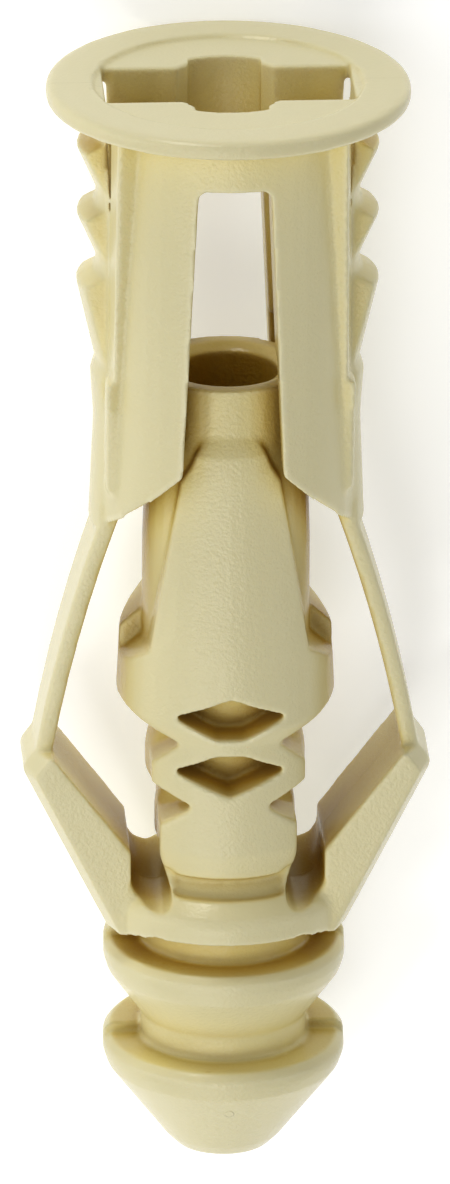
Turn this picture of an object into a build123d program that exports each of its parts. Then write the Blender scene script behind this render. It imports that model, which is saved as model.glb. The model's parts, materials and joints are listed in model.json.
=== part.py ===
from build123d import *
import math
import os

# Plastic hollow wall anchor, one injection moulding, in millimetres.
# The functions build it upright: its axis is Z, the top of the flange is at height 0, and every depth is
# measured down from there. Its two slots face front and back, -Y and +Y, and its arms spread along X.
# The mould opens along Y, so the part is the same left and right. Its back half has its ledges a little higher.
# The last function lays it down with its front face up, as it comes to rest on a table.

# Clearances: how far cutting shapes reach past the part, how far joined shapes reach into each other,
# and how near two places count as the same
reach = 1.0
overlap = 0.1
near = 0.05

# Flange
flange_r = 6.0
flange_thick = 0.63
flange_lip = 0.21
flange_lip_drop = 0.09
flange_lip_middle = 0.07
flange_lip_middle_drop = 0.03
flange_under_bevel = 0.12
recess_r = 4.45
recess_depth = 0.1

# Cross opening in the head
slot_half_length = 4.1
slot_half_length_low = 3.65
slot_half_width = 1.6
cross_arm_half_width = 1.2
cross_arm_reach = 2.68
cross_shift = 0.15
cross_corner = 0.4
cross_depth = 9.0

# Collar: four panels between the windows and the side fins
collar_r_top = 4.18
collar_r_low = 4.3
collar_bore_r = 3.0
leg_end_inner = 12.45
leg_end_outer = 15.38
window_top = 2.4
window_half_top = 1.18
window_half_low = 1.66
window_corner = 0.3
side_flat_mid = 4.12
side_flat_out = 3.76
side_flat_depth = 9.7

# Corner fins, one at the outer edge of each panel
corner_fin_r = 4.96
corner_fin_inner = 2.98
corner_fin_depth = 13.4
corner_fin_root = 1.5

# Side fins with the ratchet teeth, and the rib below them that carries the strap
fin_half_width = 1.25
fin_nose_r = 3.4
tooth_r = 5.01
tooth_root_r = 4.36
tooth_tip_bevel = 0.06
tooth_first = 2.07
tooth_pitch = 2.34
tooth_count = 3
tooth_top_angle = 30.0
tooth_taper = 24.0
last_tooth_foot_r = 4.37
last_tooth_foot = 9.55
rib_top_r = 4.52
rib_top = 10.0
rib_r = 4.42
rib_waist = 11.6
rib_low_r = 4.57
rib_end_bevel = 0.16

# Straps
strap_thick = 0.57
strap_width = 2.7
strap_edge = 0.16
strap_root_depth = 14.4
strap_root_x = 3.75
strap_mid_depth = 19.77
strap_mid_x = 5.37
strap_end_depth = 23.2
strap_end_x = 6.09

# Arms. Their heights are told from the straps' lower ends and from the nose's collar
arm_half_depth = 2.1
elbow_x = 6.82
elbow_top_x = 6.38
elbow_rise = 0.1
elbow_drop = 0.5
elbow_round = 0.4
arm_foot_x = 3.96
arm_foot_drop = 0.32
arm_foot_run = 0.96
arm_inner_x = 3.22
arm_inner_rise = 1.85
arm_bevel_face = 0.36
arm_bevel_side = 0.9

# U slots between the arms and the neck, their floors a little above the collar's widest part
u_slot_inner_x = 1.74
u_slot_inner_round = 0.44
u_slot_outer_round = 0.84
u_slot_front_rise = 0.07
u_slot_back_rise = 0.11
u_slot_back_slope = 15.0

# Sleeve that takes the screw
sleeve_top = 9.92
sleeve_r_top = 2.6
sleeve_r = 2.78
sleeve_full_depth = 16.0
bore_r = 1.7
bore_lead_r = 2.1
bore_lead = 0.22
bore_floor = 20.3

# Front and back plates, which widen into the block
plate_top = 11.8
plate_top_half = 0.9
plate_top_bevel = 0.52
plate_shoulder_half = 1.65
plate_shoulder = 13.1
plate_foot_half = 2.63
plate_foot = 19.2
plate_r_top = 2.95
block_r = 3.64
block_top_r = 3.52
block_top = 19.0
block_front_top = 20.1
block_back_rise = 0.85
block_side_foot = 21.4
block_foot = 21.65

# Folds below the block: two lobes with a notch beside each, and a diamond pocket in each
fold_r = 3.32
notch_1_half = 1.62
notch_1_drop = 0.9
lobe_1_half = 2.55
lobe_1_slant = 0.9
lobe_1_side = 0.75
notch_2_half = 1.2
notch_2_drop = 0.55
lobe_2_half = 2.28
lobe_2_slant = 0.85
lobe_2_side = 1.15
lobe_back_inset = 0.12
core_top_r = 2.36
core_r = 2.66
core_foot_drop = 0.4
core_waist_r = 2.19
core_waist_drop = 0.4
core_low_r = 2.34
core_bevel = 0.2

# Pockets, told from the tip of the first notch
pocket_half = 1.87
pocket_1_floor_r = 2.78
pocket_1_foot_r = 2.1
pocket_2_floor_r = 2.3
pocket_2_foot_r = 1.75
pocket_1_apex_rise = 1.8
pocket_1_side_rise = 1.05
pocket_1_foot_rise = 0.3
pocket_1_flat = 0.45
pocket_2_top_drop = 0.36
pocket_2_side_drop = 1.0
pocket_2_apex_drop = 1.8
pocket_2_flat = 0.5

# Neck between the folds and the nose
neck_edge_rise = 0.3
neck_lip_r = 3.12
neck_lip_drop = 0.7
neck_groove_r = 2.62
neck_groove_drop = 0.95
neck_groove_side = 0.35

# Nose: a round collar that joins the arms, and two barbs with grooves between
nose_r = 4.0
nose_shoulder_r = 3.35
nose_shoulder_drop = 1.3
nose_shoulder_slant = 0.55
nose_band = 0.78
nose_bevel = 0.16
groove_r = 2.8
groove_1_width = 1.17
groove_2_width = 0.85
back_rise = 0.32
barb_r = 4.03
barb_bevel = 0.24
barb_rim_1 = 0.85
barb_rim_2 = 0.75
barb_cone_1 = 1.8
barb_foot_r = 2.76
barb_cone_bevel = 0.24
tip_length = 3.15
tip_r = 1.96
tip_dome = 0.4
tip_dome_r = 1.56

# Depths that follow from these, from the block down to the tip
notch_1 = block_side_foot + notch_1_drop
lobe_1_top = notch_1 + lobe_1_slant
lobe_1_foot = lobe_1_top + lobe_1_side
notch_2 = lobe_1_foot + notch_2_drop
lobe_2_top = notch_2 + lobe_2_slant
lobe_2_foot = lobe_2_top + lobe_2_side
core_foot = lobe_1_foot + core_foot_drop
core_waist = core_foot + core_waist_drop
neck_edge = lobe_2_foot - neck_edge_rise
neck_groove = neck_edge + neck_groove_drop
nose_shoulder = lobe_2_foot + nose_shoulder_drop
nose_full = nose_shoulder + nose_shoulder_slant
nose_foot = nose_full + nose_band
barb_1_top = nose_foot + groove_1_width
barb_1_rim = barb_1_top + barb_rim_1
barb_1_foot = barb_1_rim + barb_cone_1
barb_2_top = barb_1_foot + groove_2_width
barb_2_rim = barb_2_top + barb_rim_2
length = barb_2_rim + tip_length
elbow_top = strap_end_depth - elbow_rise
elbow_depth = strap_end_depth + elbow_drop
arm_inner_depth = nose_full - arm_inner_rise
arm_foot_depth = nose_foot + arm_foot_drop


def outline(points, soften):
    """A flat face from (x, depth) points. A third value is how far that corner is rounded or bevelled."""
    face = make_face(Polyline([(p[0], -p[1]) for p in points], close=True))
    for p in points:
        if len(p) == 3:
            corner = face.vertices().sort_by_distance(Vector(p[0], -p[1], 0))[0]
            face = soften(corner, p[2])
    return face


def front_prism(points, y_from, y_to):
    """An outline seen from the front, its corners rounded, pushed from y_from to y_to."""
    return Pos(0, y_from, 0) * extrude(Plane.XZ * outline(points, fillet), amount=y_from - y_to)


def turned(points, axis_x=0.0):
    """A half outline, its corners bevelled, turned round the upright line at axis_x."""
    return Pos(axis_x, 0, 0) * revolve(Plane.XZ * outline(points, chamfer), Axis.Z)


def both_sides(half):
    """A shape and its mirror image across the middle plane X = 0."""
    return half + mirror(half, Plane.YZ)


def fan(points):
    """A right-hand outline closed by its own mirror image. Points on the middle plane aren't repeated."""
    return points + [(-p[0], *p[1:]) for p in reversed(points) if p[0] > 0]


def make_flange():
    """The round flange, with its shallow recess on top."""
    disc = turned(
        [
            (0, 0),
            (flange_r - flange_lip, 0),
            (flange_r - flange_lip_middle, flange_lip_middle_drop),
            (flange_r, flange_lip_drop),
            (flange_r, flange_thick, flange_under_bevel),
            (0, flange_thick),
        ]
    )
    recess = turned([(0, -reach), (recess_r, -reach), (recess_r, recess_depth), (0, recess_depth)])
    return disc - recess


def collar_radius(depth):
    """Outer radius of the collar's panels at a depth."""
    return collar_r_top + (collar_r_low - collar_r_top) * depth / leg_end_outer


def ridge_reach():
    """How far the corner fins' ridges stand to the front at the flange."""
    return math.sqrt(corner_fin_r**2 - side_flat_out**2)


def make_corner_fins():
    """Four tapering fins whose inner faces look inward and run out on the panels."""
    ridge = Vector(side_flat_out, -ridge_reach(), 0)
    crease = Vector(corner_fin_inner, -math.sqrt(collar_radius(0) ** 2 - corner_fin_inner**2), 0)
    low_y = math.sqrt(collar_radius(corner_fin_depth) ** 2 - side_flat_out**2)
    low = Vector(side_flat_out, -low_y, -corner_fin_depth)
    plan = [(side_flat_mid, ridge.Y - reach), (corner_fin_inner, ridge.Y - reach)]
    plan += [(corner_fin_inner, -corner_fin_root), (side_flat_mid, -corner_fin_root)]
    fin = Pos(0, 0, -flange_thick / 2) * extrude(make_face(Polyline(plan, close=True)), amount=-corner_fin_depth)
    normal = (crease - ridge).cross(low - ridge)
    if normal.Y > 0:
        normal = normal * -1
    inner_face = Plane(origin=(ridge.X, ridge.Y, ridge.Z), z_dir=(normal.X, normal.Y, normal.Z))
    pair = both_sides(split(fin, bisect_by=inner_face, keep=Keep.BOTTOM))
    return pair + mirror(pair, Plane.XZ)


def make_side_flats():
    """What is cut away beside the fins: flats with some mould draft, which end the corner fins at their ridges."""
    far_y = ridge_reach() + reach
    far_x = side_flat_mid - (side_flat_mid - side_flat_out) * far_y / ridge_reach()
    half = [(side_flat_mid, 0), (far_x, -far_y), (2 * flange_r, -far_y), (2 * flange_r, 0)]
    flat = extrude(make_face(Polyline(half, close=True)), amount=-side_flat_depth)
    flat = flat + mirror(flat, Plane.XZ)
    return both_sides(flat)


def tooth_outline():
    """Half outline of one side fin, about its own centre: the ratchet teeth, then the plain rib."""
    nose = fin_nose_r - tooth_r
    tip, root = fin_nose_r, tooth_root_r + nose
    rise = (tip - root) * math.tan(math.radians(tooth_top_angle))
    run = (tip - root) / math.tan(math.radians(tooth_taper))
    points = [(0, flange_thick / 2), (root, flange_thick / 2)]
    for i in range(tooth_count):
        depth = tooth_first + i * tooth_pitch
        points += [(root, depth - rise), (tip, depth, tooth_tip_bevel)]
        if i < tooth_count - 1:
            points.append((root, depth + run))
    points += [(last_tooth_foot_r + nose, last_tooth_foot), (rib_top_r + nose, rib_top), (rib_r + nose, rib_waist)]
    return points + [(rib_low_r + nose, leg_end_outer, rib_end_bevel), (0, leg_end_outer)]


def make_side_fins():
    """The two side fins, as wide as the ribs below them."""
    fin = turned(tooth_outline(), tooth_r - fin_nose_r)
    slab = Pos(tooth_r, 0, -leg_end_outer / 2) * Box(2 * tooth_r, 2 * fin_half_width, 2 * leg_end_outer)
    return both_sides(fin & slab)


def make_window():
    """The front and back windows, which widen downward and are open at the bottom."""
    low = leg_end_outer + reach
    spread = (window_half_low - window_half_top) / (leg_end_inner - window_top)
    half_low = window_half_top + spread * (low - window_top)
    return front_prism(fan([(window_half_top, window_top, window_corner), (half_low, low)]), -flange_r, flange_r)


def make_cross_opening():
    """The cross that the screw goes in through, and the hollow below it round the sleeve."""
    slot = front_prism(
        fan([(slot_half_length, -reach), (slot_half_length, 0), (slot_half_length_low, cross_depth)]),
        -slot_half_width,
        slot_half_width,
    )
    bore = turned([(0, -reach), (cross_arm_reach, -reach), (cross_arm_reach, cross_depth), (0, cross_depth)])
    arm = bore & Box(2 * cross_arm_half_width, 2 * flange_r, 2 * length)
    corner = cross_arm_half_width + cross_corner
    flare = slot_half_width + cross_corner
    plan = [(corner, 0), (corner, slot_half_width), (cross_arm_half_width, flare), (0, flare)]
    flares = Pos(0, 0, reach) * extrude(make_face(Polyline(plan, close=True)), amount=-cross_depth - reach)
    flares = both_sides(flares)
    flares = flares + mirror(flares, Plane.XZ)
    cross = Pos(0, cross_shift, 0) * (slot + arm + flares)
    top, low = cross_depth - overlap, leg_end_outer + reach
    hollow = turned([(0, top), (collar_bore_r, top), (collar_bore_r, low), (0, low)])
    return cross + hollow


def make_leg_end():
    """What is cut off below the panels: their ends slant down from the windows to the ribs."""
    slope = (leg_end_outer - leg_end_inner) / (rib_r - window_half_low)
    far = flange_r + reach
    far_depth = leg_end_inner + slope * (far - window_half_low)
    mid_depth = leg_end_inner - slope * window_half_low
    return front_prism(fan([(0, mid_depth), (far, far_depth), (far, length)]), -flange_r, flange_r)


def make_head():
    """Flange, collar, fins and all that is cut in them."""
    root = flange_thick / 2
    panels = turned([(0, root), (collar_r_top, root), (collar_r_low, leg_end_outer), (0, leg_end_outer)])
    collar = (panels + make_corner_fins()) - make_side_flats()
    collar = (collar + make_side_fins()) - make_window() - make_leg_end()
    return (make_flange() + collar) - make_cross_opening()


def make_straps():
    """The two thin straps that bow out from the ribs to the elbows."""
    path = ThreePointArc(
        (strap_root_x, 0, -strap_root_depth),
        (strap_mid_x, 0, -strap_mid_depth),
        (strap_end_x, 0, -strap_end_depth),
    )
    section = Plane(origin=path @ 0, x_dir=(0, 1, 0), z_dir=path % 0) * RectangleRounded(
        strap_width, strap_thick, strap_edge
    )
    return both_sides(sweep(section, path=path))


def arm_outline():
    """Front outline of one arm with its half of the nose collar."""
    foot_half = math.sqrt(nose_r**2 - arm_half_depth**2)
    return [
        (strap_end_x - strap_thick / 2, elbow_top),
        (elbow_top_x, elbow_top),
        (elbow_x, elbow_depth, elbow_round),
        (arm_foot_x, arm_foot_depth),
        (foot_half, arm_foot_depth),
        (foot_half - arm_foot_run, nose_foot),
        (0, nose_foot),
        (0, arm_inner_depth),
        (arm_inner_x, arm_inner_depth),
    ]


def is_outer_edge(edge):
    """True for the edges of an arm's front and back faces from the elbow's top down along the outside."""
    ends = (edge @ 0, edge @ 1)
    flat = abs(ends[1].Y - ends[0].Y) < near
    outside = min(end.X for end in ends) > arm_foot_x - near
    return flat and outside and min(end.Z for end in ends) < -elbow_top


def make_bevelled_arm():
    """The right-hand arm. Its outer edges are bevelled, more along the outside than on the front and back faces."""
    arm = front_prism(arm_outline(), -arm_half_depth, arm_half_depth)
    for side in (-1, 1):
        face = arm.faces().filter_by(Axis.Y).sort_by(Axis.Y)[0 if side < 0 else -1]
        edges = [edge for edge in face.edges() if is_outer_edge(edge)]
        arm = chamfer(edges, arm_bevel_face, arm_bevel_side, reference=face)
    return arm


def make_arms():
    """The two toggle arms, with the round collar that joins them to the nose."""
    bulge = turned(
        [
            (0, nose_shoulder - reach),
            (arm_half_depth, nose_shoulder - reach),
            (nose_shoulder_r, nose_shoulder),
            (nose_r, nose_full, nose_bevel),
            (nose_r, arm_foot_depth),
            (0, arm_foot_depth),
        ]
    )
    collar = bulge & front_prism(arm_outline(), -flange_r, flange_r)
    return both_sides((make_bevelled_arm() + collar) - make_u_slot())


def make_u_slot():
    """One U slot between arm and neck. Its floor is level in the front half and rises toward the back."""
    halves = []
    for rise, side, slope in ((u_slot_front_rise, -1, 0), (u_slot_back_rise, 1, u_slot_back_slope)):
        foot = nose_full - rise
        profile = outline(
            [
                (lobe_2_half, arm_inner_depth - reach),
                (lobe_2_half, lobe_2_foot),
                (u_slot_inner_x, foot, u_slot_inner_round),
                (arm_inner_x, foot, u_slot_outer_round),
                (arm_inner_x, arm_inner_depth - reach),
            ],
            fillet,
        )
        climb = math.tan(math.radians(slope))
        halves.append(extrude(Plane.XZ * profile, amount=flange_r, dir=(0, side, climb)))
    return halves[0] + halves[1]


def make_sleeve():
    """The tube under the head and the solid core of the folds below it."""
    return turned(
        [
            (0, sleeve_top),
            (sleeve_r_top, sleeve_top),
            (sleeve_r, sleeve_full_depth),
            (sleeve_r, block_side_foot),
            (core_top_r, notch_1),
            (core_r, lobe_1_top, core_bevel),
            (core_r, core_foot, core_bevel),
            (core_waist_r, core_waist),
            (core_low_r, lobe_2_top, core_bevel),
            (core_low_r, lobe_2_foot),
            (0, lobe_2_foot),
        ]
    )


def plate_outline(rise, inset):
    """Right-hand front outline of a plate, its block and the folds. The block starts higher by rise."""
    lobe_1, lobe_2 = lobe_1_half - inset, lobe_2_half - inset
    return [
        (plate_top_half, plate_top),
        (plate_shoulder_half, plate_shoulder),
        (plate_foot_half, plate_foot - rise),
        (block_r, block_front_top - rise),
        (block_r, block_side_foot),
        (notch_1_half, notch_1),
        (lobe_1, lobe_1_top),
        (lobe_1, lobe_1_foot),
        (notch_2_half, notch_2),
        (lobe_2, lobe_2_top),
        (lobe_2, lobe_2_foot),
        (u_slot_inner_x, nose_full - u_slot_front_rise),
        (u_slot_inner_x, nose_foot),
    ]


def make_plates():
    """Front and back plates: their outlines, cut out of a turned body."""
    body = turned(
        [
            (0, plate_top),
            (plate_r_top - plate_top_bevel / 2, plate_top),
            (plate_r_top, plate_top + plate_top_bevel),
            (block_top_r, block_top),
            (block_r, block_foot),
            (fold_r, notch_1),
            (fold_r, neck_edge),
            (neck_lip_r, neck_edge + neck_lip_drop),
            (neck_groove_r, neck_groove),
            (neck_groove_r, neck_groove + neck_groove_side),
            (nose_shoulder_r, nose_shoulder),
            (nose_r, nose_full, nose_bevel),
            (nose_r, nose_foot),
            (0, nose_foot),
        ]
    )
    front = front_prism(fan(plate_outline(0, 0)), -flange_r, 0)
    back = front_prism(fan(plate_outline(block_back_rise, lobe_back_inset)), 0, flange_r)
    return body & (front + back)


def make_pockets():
    """The diamond pockets, open to the front and to the back. Their floors slant inward toward the nose."""
    upper_top, upper_foot = notch_1 - pocket_1_apex_rise, notch_1 - pocket_1_foot_rise
    lower_top, lower_foot = notch_1 + pocket_2_top_drop, notch_1 + pocket_2_apex_drop
    upper = fan([(0, upper_top), (pocket_half, notch_1 - pocket_1_side_rise), (pocket_1_flat, upper_foot)])
    lower = fan([(pocket_2_flat, lower_top), (pocket_half, notch_1 + pocket_2_side_drop), (0, lower_foot)])
    upper_core = [(0, upper_top), (pocket_1_floor_r, upper_top), (pocket_1_foot_r, upper_foot), (0, upper_foot)]
    lower_core = [(0, lower_top), (pocket_2_floor_r, lower_top), (pocket_2_foot_r, lower_foot), (0, lower_foot)]
    pockets = front_prism(upper, -flange_r, flange_r) - turned(upper_core)
    return pockets + (front_prism(lower, -flange_r, flange_r) - turned(lower_core))


def make_bore():
    """The blind bore that the screw cuts its thread in, with a small lead-in."""
    top = sleeve_top - overlap
    lead = sleeve_top + bore_lead
    return turned([(0, top), (bore_lead_r, top), (bore_lead_r, sleeve_top), (bore_r, lead), (bore_r, bore_floor),
                   (0, bore_floor)])


def nose_outline(rise):
    """Half outline of the nose, with the flat tops of its barbs higher by rise."""
    return [
        (0, nose_foot - overlap),
        (groove_r, nose_foot - overlap),
        (groove_r, barb_1_top - rise),
        (barb_r, barb_1_top - rise, barb_bevel),
        (barb_r, barb_1_rim, barb_cone_bevel),
        (barb_foot_r, barb_1_foot),
        (barb_foot_r, barb_2_top - rise),
        (barb_r, barb_2_top - rise, barb_bevel),
        (barb_r, barb_2_rim, barb_cone_bevel),
        (tip_r, length - tip_dome),
        (tip_dome_r, length),
        (0, length),
    ]


def make_nose():
    """The nose, its front half and its back half."""
    front = turned(nose_outline(0)) & front_prism(fan([(flange_r, 0), (flange_r, 2 * length)]), -flange_r, 0)
    back = turned(nose_outline(back_rise)) & front_prism(fan([(flange_r, 0), (flange_r, 2 * length)]), 0, flange_r)
    return front + back


def make_anchor():
    """The whole moulding, upright."""
    core = (make_sleeve() + make_plates()) - make_pockets() - make_bore()
    return make_head() + make_straps() + make_arms() + core + make_nose()


def lay_down(anchor):
    """Laid on its back, tilted so that the flange and the last barb both touch the table."""
    span = barb_2_rim - (flange_thick - flange_under_bevel)
    tilt = math.degrees(math.asin((flange_r - barb_r) / span))
    lying = Rot(tilt - 90, 0, 0) * anchor
    box = lying.bounding_box()
    return Pos(-box.center().X, -box.center().Y, -box.min.Z) * lying


anchor = lay_down(make_anchor())
os.makedirs("parts", exist_ok=True)
export_step(anchor, "parts/wall_anchor.step")
print("solids", len(anchor.solids()), "volume", round(anchor.volume, 2), "size", anchor.bounding_box().size)
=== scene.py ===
import json
import math

import bpy
from mathutils import Matrix, Vector


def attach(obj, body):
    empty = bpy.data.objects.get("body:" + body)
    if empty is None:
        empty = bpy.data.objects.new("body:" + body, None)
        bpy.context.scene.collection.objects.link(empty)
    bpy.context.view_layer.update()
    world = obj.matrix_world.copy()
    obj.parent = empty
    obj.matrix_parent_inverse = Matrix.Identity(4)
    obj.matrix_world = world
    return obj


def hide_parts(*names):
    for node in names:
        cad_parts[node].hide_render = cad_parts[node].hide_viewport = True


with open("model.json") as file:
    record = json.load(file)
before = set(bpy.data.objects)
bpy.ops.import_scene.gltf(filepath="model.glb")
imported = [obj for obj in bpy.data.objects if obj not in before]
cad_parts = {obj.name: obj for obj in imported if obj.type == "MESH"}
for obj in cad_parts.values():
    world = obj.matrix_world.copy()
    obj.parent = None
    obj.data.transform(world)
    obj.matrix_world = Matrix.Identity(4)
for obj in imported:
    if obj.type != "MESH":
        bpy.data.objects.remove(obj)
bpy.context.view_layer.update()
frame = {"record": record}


# The anchor is one moulding of beige nylon, shot in a two-part mould that opens to its front and back.
# Its corners are soft all over, and softest on the flange's rim and at the feet of the corner fins.
# A copy of the sharp model is merged, remeshed finely and smoothed, and stands for it.
MM = 0.001
bore_middle_depth = 15.22 * MM
voxel = 0.075 * MM
triangle_share = 0.21
edge_passes = 5
fold_passes = 10
folds_top = 19.7 * MM
folds_foot = 26.6 * MM
folds_reach = 3.8 * MM
rim_passes = 22
rim_r = 5.5 * MM
fin_passes = 10
fin_top = 1.0 * MM
fin_inner = 2.7 * MM
fin_r = 4.1 * MM
fin_outer = 4.45 * MM
fin_foot_passes = 60
fin_foot_top = 10.6 * MM
fin_foot_end = 14.4 * MM
collar_passes = 12
collar_top = 27.6 * MM
collar_foot = 29.4 * MM
collar_inner = 2.9 * MM
collar_outer = 4.3 * MM
neck_reach = 1.9 * MM
neck_lip = (26.85 * MM, 27.3 * MM)
neck_lip_sag = 0.3 * MM
neck_groove = (27.45 * MM, 27.6 * MM)
neck_groove_sag = 0.18 * MM
plate_end = (11.7 * MM, 12.5 * MM)
plate_reach = 1.5 * MM
plate_inner_r = 2.5 * MM
plate_end_lift = 0.2 * MM
dish_floor = (0.05 * MM, 0.15 * MM)
dish_r = 4.6 * MM
dish_sink = 0.05 * MM
weld_reach = 0.0005 * MM
rim_foot = 1.0 * MM

bore = frame["record"]["mounts"][0]
axis = Vector(bore["axis"]).normalized()
flange_middle = Vector(bore["pos_m"]) + axis * bore_middle_depth
across = Vector((1, 0, 0))
front = across.cross(axis)

node = bpy.data.objects["wall_anchor"]
bpy.ops.object.select_all(action="DESELECT")
moulding = node.copy()
moulding.data = node.data.copy()
moulding.name = "moulding"
bpy.context.collection.objects.link(moulding)
moulding.select_set(True)
bpy.context.view_layer.objects.active = moulding
bpy.ops.object.mode_set(mode="EDIT")
bpy.ops.mesh.select_all(action="SELECT")
bpy.ops.mesh.remove_doubles(threshold=weld_reach)
bpy.ops.mesh.select_all(action="DESELECT")
bpy.ops.object.mode_set(mode="OBJECT")


def spot(vertex):
    """How far a vertex lies down the axis from the flange, beside the axis and in front of it."""
    away = vertex.co - flange_middle
    return -away.dot(axis), away.dot(across), away.dot(front)


def slide(where, distance):
    """Moves the vertices that a test of their place picks along the axis, away from the flange."""
    for vertex in moulding.data.vertices:
        vertex.select = where(*spot(vertex))
    bpy.ops.object.mode_set(mode="EDIT")
    bpy.ops.transform.translate(value=-axis * distance)
    bpy.ops.object.mode_set(mode="OBJECT")


def on_neck_lip(depth, beside, ahead):
    return neck_lip[0] < depth < neck_lip[1] and abs(beside) < neck_reach


def on_neck_groove(depth, beside, ahead):
    return neck_groove[0] < depth < neck_groove[1] and abs(beside) < neck_reach


def on_plate_end(depth, beside, ahead):
    on_plate = abs(beside) < plate_reach and math.hypot(beside, ahead) > plate_inner_r
    return on_plate and plate_end[0] < depth < plate_end[1]


def on_dish_floor(depth, beside, ahead):
    return dish_floor[0] < depth < dish_floor[1] and math.hypot(beside, ahead) < dish_r


# Four edges are slid a little along the axis, to follow the photographed anchor: the neck's lower edge
# and the groove below it sag, the plates' ends stand higher, and the dish in the flange is deeper.
slide(on_neck_groove, neck_groove_sag)
slide(on_neck_lip, neck_lip_sag)
slide(on_plate_end, -plate_end_lift)
slide(on_dish_floor, dish_sink)

remesh = moulding.modifiers.new("fine_skin", "REMESH")
remesh.mode = "VOXEL"
remesh.voxel_size = voxel
remesh.adaptivity = 0.0
bpy.ops.object.modifier_apply(modifier=remesh.name)

folds = moulding.vertex_groups.new(name="folds")
rim = moulding.vertex_groups.new(name="rim")
collar = moulding.vertex_groups.new(name="collar")
fins = moulding.vertex_groups.new(name="fins")
fin_feet = moulding.vertex_groups.new(name="fin_feet")
in_folds = []
in_rim = []
in_collar = []
in_fins = []
in_feet = []
for vertex in moulding.data.vertices:
    depth, beside, ahead = spot(vertex)
    if folds_top < depth < folds_foot and abs(beside) < folds_reach:
        in_folds.append(vertex.index)
    if depth < rim_foot and math.hypot(beside, ahead) > rim_r:
        in_rim.append(vertex.index)
    if collar_top < depth < collar_foot and collar_inner < abs(beside) < collar_outer:
        in_collar.append(vertex.index)
    by_fins = fin_inner < abs(beside) < fin_outer and math.hypot(beside, ahead) > fin_r
    if by_fins and fin_top < depth < fin_foot_end:
        in_fins.append(vertex.index)
        if depth > fin_foot_top:
            in_feet.append(vertex.index)
folds.add(in_folds, 1.0, "REPLACE")
rim.add(in_rim, 1.0, "REPLACE")
collar.add(in_collar, 1.0, "REPLACE")
fins.add(in_fins, 1.0, "REPLACE")
fin_feet.add(in_feet, 1.0, "REPLACE")


def soften(name, passes, group=""):
    """Rounds the moulding's edges by a number of smoothing passes, all over or in one vertex group."""
    smooth = moulding.modifiers.new(name, "SMOOTH")
    smooth.factor = 0.5
    smooth.iterations = passes
    smooth.vertex_group = group
    bpy.ops.object.modifier_apply(modifier=smooth.name)


soften("soft_corners", edge_passes)
soften("soft_folds", fold_passes, "folds")
soften("soft_rim", rim_passes, "rim")
soften("soft_collar", collar_passes, "collar")
soften("soft_fins", fin_passes, "fins")
soften("soft_fin_feet", fin_foot_passes, "fin_feet")

thin_out = moulding.modifiers.new("fewer_faces", "DECIMATE")
thin_out.ratio = triangle_share
bpy.ops.object.modifier_apply(modifier=thin_out.name)
bpy.ops.object.shade_smooth()
print("moulding triangles", sum(len(p.vertices) - 2 for p in moulding.data.polygons))


# The plastic: unfilled beige nylon, a little translucent. Its colour is painted darker, a deep straw and
# then brown, where the surface is shut in: painted shade in recesses. Creases get more painted shade and
# thin edges a paler painted highlight. The mould's spark-eroded front leaves a fine grain, its halves
# leave a faint line along the sides, and the gate leaves a small ring on the front of the nose with
# ripples round it.
painted_recess_shades = (
    (0.15, (0.24, 0.09, 0.006, 1.0)),
    (0.22, (0.46, 0.27, 0.025, 1.0)),
    (0.29, (0.47, 0.3, 0.035, 1.0)),
    (0.38, (0.64, 0.48, 0.1, 1.0)),
    (0.52, (0.7, 0.58, 0.19, 1.0)),
    (0.7, (0.69, 0.61, 0.3, 1.0)),
    (0.86, (0.65, 0.59, 0.35, 1.0)),
    (1.0, (0.6, 0.548, 0.325, 1.0)),
)
# Painted highlight: thin convex edges are paled towards this colour.
painted_edge_highlight = (0.74, 0.7, 0.5, 1.0)
edge_reach = 0.22 * MM
edge_strength = 0.45
edge_span = (1.0, 0.4)
# Painted shade: creases are darkened towards this brown.
painted_crease_shade = (0.3, 0.19, 0.045, 1.0)
crease_reach = 0.9 * MM
crease_strength = 0.75
crease_span = (0.75, 0.3)
recess_depth = 6 * MM
grain_scale = 8500
wave_scale = 650
gate_depth = 35.45 * MM
gate_across = 0.02 * MM
gate_r = 0.17 * MM
gate_ring_height = 0.03 * MM
ripple_waves = 14.0 / MM
ripple_height = 0.003 * MM
ripple_reach = 6
parting_width = 0.035 * MM
parting_height = 0.008 * MM
wave_height = 0.02 * MM
grain_height = 0.028 * MM
noise_detail = 2
grain_facing = (0.55, 0.9)
grain_aside = 0.25
closeness_samples = 4

nylon = bpy.data.materials.new("beige_nylon")
nylon.use_nodes = True
nodes, links = nylon.node_tree.nodes, nylon.node_tree.links
shader = nodes["Principled BSDF"]
shader.inputs["Roughness"].default_value = 0.26
shader.inputs["Specular IOR Level"].default_value = 0.28
shader.inputs["Specular Tint"].default_value = (1.0, 0.95, 0.82, 1.0)
shader.inputs["IOR"].default_value = 1.5
shader.inputs["Subsurface Weight"].default_value = 0.1
shader.inputs["Subsurface Radius"].default_value = (1.0, 0.7, 0.35)
shader.inputs["Subsurface Scale"].default_value = 0.5 * MM

# Painted shade: the more the surface is shut in within recess_depth, the darker and browner its colour.
closeness = nodes.new("ShaderNodeAmbientOcclusion")
closeness.samples = closeness_samples
closeness.only_local = True
closeness.inputs["Distance"].default_value = recess_depth
shade = nodes.new("ShaderNodeValToRGB")
ramp = shade.color_ramp
ramp.elements[0].position, ramp.elements[0].color = painted_recess_shades[0]
ramp.elements[1].position, ramp.elements[1].color = painted_recess_shades[-1]
for position, colour in painted_recess_shades[1:-1]:
    ramp.elements.new(position).color = colour
links.new(closeness.outputs["AO"], shade.inputs["Fac"])


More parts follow.
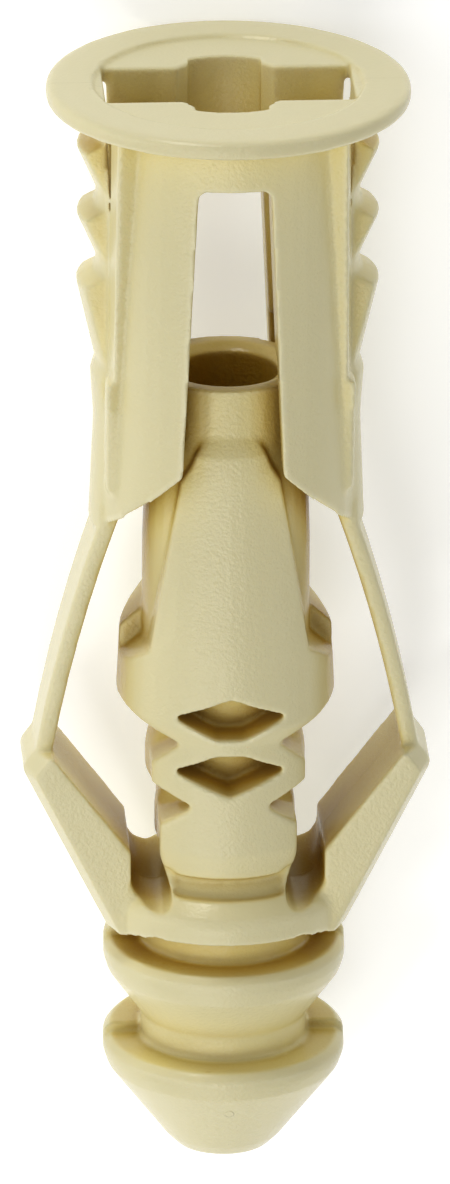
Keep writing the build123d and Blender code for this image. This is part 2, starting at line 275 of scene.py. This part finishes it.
def painted_light_tint(below, tint, reach, inside, span, strength):
    """Paints a tint over a colour where the surface is shut in (painted shade in creases) or, seen from
    inside, where it is thin (painted highlight on edges).
    """
    shut_in = nodes.new("ShaderNodeAmbientOcclusion")
    shut_in.samples = closeness_samples
    shut_in.only_local = True
    shut_in.inside = inside
    shut_in.inputs["Distance"].default_value = reach
    share = nodes.new("ShaderNodeMapRange")
    share.inputs["From Min"].default_value = span[0]
    share.inputs["From Max"].default_value = span[1]
    share.inputs["To Max"].default_value = strength
    mix = nodes.new("ShaderNodeMix")
    mix.data_type = "RGBA"
    mix.inputs["B"].default_value = tint
    links.new(shut_in.outputs["AO"], share.inputs["Value"])
    links.new(share.outputs["Result"], mix.inputs["Factor"])
    links.new(below, mix.inputs["A"])
    return mix.outputs["Result"]


# Painted highlight on thin edges, then painted shade in creases, laid over the painted recess shade.
colour = painted_light_tint(shade.outputs["Color"], painted_edge_highlight, edge_reach, True, edge_span, edge_strength)
colour = painted_light_tint(colour, painted_crease_shade, crease_reach, False, crease_span, crease_strength)
links.new(colour, shader.inputs["Base Color"])


def dot_with(direction, vector):
    """A node that measures a vector along one direction."""
    dot = nodes.new("ShaderNodeVectorMath")
    dot.operation = "DOT_PRODUCT"
    dot.inputs[1].default_value = direction
    links.new(vector, dot.inputs[0])
    return dot.outputs["Value"]


def blend_range(value, low, high, out_low, out_high):
    """A node that maps a range of values smoothly to another."""
    span = nodes.new("ShaderNodeMapRange")
    span.interpolation_type = "SMOOTHSTEP"
    span.inputs["From Min"].default_value = low
    span.inputs["From Max"].default_value = high
    span.inputs["To Min"].default_value = out_low
    span.inputs["To Max"].default_value = out_high
    links.new(value, span.inputs["Value"])
    return span.outputs["Result"]


def joined(operation, first, second):
    """A node that joins two values by one operation. A plain number may stand for either."""
    maths = nodes.new("ShaderNodeMath")
    maths.operation = operation
    for socket, value in zip(maths.inputs, (first, second)):
        if isinstance(value, (int, float)):
            socket.default_value = value
        else:
            links.new(value, socket)
    return maths.outputs["Value"]


def noise(scale, detail):
    """A noise pattern in the moulding's own coordinates."""
    pattern = nodes.new("ShaderNodeTexNoise")
    pattern.inputs["Scale"].default_value = scale
    pattern.inputs["Detail"].default_value = detail
    links.new(place.outputs["Object"], pattern.inputs["Vector"])
    return pattern.outputs["Fac"]


def relief(height, distance, below):
    """A bump of one height pattern, laid over another bump's normal where there is one."""
    bump = nodes.new("ShaderNodeBump")
    bump.inputs["Strength"].default_value = 1.0
    bump.inputs["Distance"].default_value = distance
    links.new(height, bump.inputs["Height"])
    if below:
        links.new(below, bump.inputs["Normal"])
    return bump.outputs["Normal"]


place = nodes.new("ShaderNodeTexCoord")
offset = nodes.new("ShaderNodeVectorMath")
offset.operation = "SUBTRACT"
offset.inputs[1].default_value = flange_middle
links.new(place.outputs["Object"], offset.inputs[0])
from_flange = offset.outputs["Vector"]
forward = dot_with(front, from_flange)
sideways = dot_with(across, from_flange)
downward = dot_with(-axis, from_flange)

facing_front = blend_range(dot_with(front, place.outputs["Normal"]), *grain_facing, grain_aside, 1.0)
grain = joined("MULTIPLY", noise(grain_scale, noise_detail), facing_front)
skin = relief(noise(wave_scale, noise_detail), wave_height, None)
skin = relief(grain, grain_height, skin)

parting = blend_range(joined("ABSOLUTE", forward, 0.0), 0.0, parting_width, 1.0, 0.0)
skin = relief(parting, parting_height, skin)

off_gate = joined("POWER", joined("SUBTRACT", downward, gate_depth), 2.0)
off_gate = joined("ADD", off_gate, joined("POWER", joined("SUBTRACT", sideways, gate_across), 2.0))
off_gate = joined("SQRT", off_gate, 0.0)
on_front = blend_range(forward, 0.0, 1.0 * MM, 0.0, 1.0)
ring = joined("MULTIPLY", blend_range(off_gate, gate_r * 0.75, gate_r, 1.0, 0.0), on_front)
skin = relief(ring, gate_ring_height, skin)
ripple = joined("SINE", joined("MULTIPLY", off_gate, ripple_waves), 0.0)
fade = blend_range(off_gate, gate_r, gate_r * ripple_reach, 1.0, 0.0)
ripple = joined("MULTIPLY", joined("MULTIPLY", ripple, fade), on_front)
skin = relief(ripple, ripple_height, skin)
links.new(skin, shader.inputs["Normal"])

moulding.data.materials.clear()
moulding.data.materials.append(nylon)
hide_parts("wall_anchor")
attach(moulding, "root")


# The table that the anchor lies on: a sheet of matt white acrylic, lit a little from below.
table_size = 2.0
table_white = (0.93, 0.93, 0.92, 1.0)
table_glow = 0.33
bpy.ops.mesh.primitive_plane_add(size=table_size)
table = bpy.context.object
table.name = "table"
acrylic = bpy.data.materials.new("white_acrylic")
acrylic.use_nodes = True
sheet = acrylic.node_tree.nodes["Principled BSDF"]
sheet.inputs["Base Color"].default_value = table_white
sheet.inputs["Roughness"].default_value = 0.9
sheet.inputs["Emission Color"].default_value = table_white
sheet.inputs["Emission Strength"].default_value = table_glow
table.data.materials.append(acrylic)


# The camera looks at the anchor's front as in the photograph, from 22 degrees above the plane across its
# axis and a little to its left. It stands near enough for the other views to stay inside their clip range,
# and its sensor width is that of the picture's long side.
photo_px = (450, 1184)
px_per_mm = 30.53
flange_px = (228.5, 80.7)
view_up = math.radians(21.87)
view_left = math.radians(3.48)
view_roll = math.radians(0.32)
camera_distance = 0.6

toward = across * -math.sin(view_left) + front * math.cos(view_left)
back = toward * math.cos(view_up) + axis * math.sin(view_up)
level = across * math.cos(view_left) + front * math.sin(view_left)
upward = back.cross(level)
image_right = level * math.cos(view_roll) + upward * math.sin(view_roll)
image_up = upward * math.cos(view_roll) - level * math.sin(view_roll)
middle = flange_middle
middle = middle + image_right * ((photo_px[0] / 2 - flange_px[0]) / px_per_mm * MM)
middle = middle - image_up * ((photo_px[1] / 2 - flange_px[1]) / px_per_mm * MM)

lens = bpy.data.cameras.new("camera")
camera = bpy.data.objects.new("camera", lens)
bpy.context.collection.objects.link(camera)
lens_place = middle + back * camera_distance
camera.matrix_world = Matrix(
    (
        (image_right.x, image_up.x, back.x, lens_place.x),
        (image_right.y, image_up.y, back.y, lens_place.y),
        (image_right.z, image_up.z, back.z, lens_place.z),
        (0, 0, 0, 1),
    )
)
lens.sensor_width = 24.0
lens.lens = lens.sensor_width * camera_distance / (photo_px[1] / px_per_mm * MM)
lens.clip_start = 0.1
lens.clip_end = 10.0
bpy.context.scene.camera = camera


# Studio light: a soft box in front, a small one that puts a sheen on the plates, a broad one at the front
# left, others at the sides, head and foot, and white air. The one at the head is low: it lights the
# flange's face and leaves the ledges behind it dim.
aim_height = 5 * MM
air_strength = 0.33


def soft_box(name, place_mm, size_mm, power):
    """A square area light aimed at the anchor, just below the middle of its height."""
    lamp = bpy.data.lights.new(name, "AREA")
    lamp.shape = "SQUARE"
    lamp.size = size_mm * MM
    lamp.energy = power
    holder = bpy.data.objects.new(name, lamp)
    bpy.context.collection.objects.link(holder)
    holder.location = [v * MM for v in place_mm]
    aim = Vector((0, 0, aim_height)) - holder.location
    holder.rotation_euler = aim.to_track_quat("-Z", "Y").to_euler()


soft_box("front_light", (-40, -110, 260), 120, 0.2)
soft_box("sheen_light", (-150, -108, 222), 40, 0.09)
soft_box("front_left_light", (-190, 60, 190), 200, 0.136)
soft_box("left_light", (-240, 0, 60), 150, 0.1)
soft_box("right_light", (230, -10, 130), 150, 0.099)
soft_box("head_light", (-60, 250, 35), 60, 0.21)
soft_box("foot_light", (-60, -220, 140), 150, 0.135)

world = bpy.data.worlds.new("white_air")
world.use_nodes = True
world.node_tree.nodes["Background"].inputs["Color"].default_value = (1, 1, 1, 1)
world.node_tree.nodes["Background"].inputs["Strength"].default_value = air_strength
bpy.context.scene.world = world
bpy.context.scene.view_settings.view_transform = "Standard"
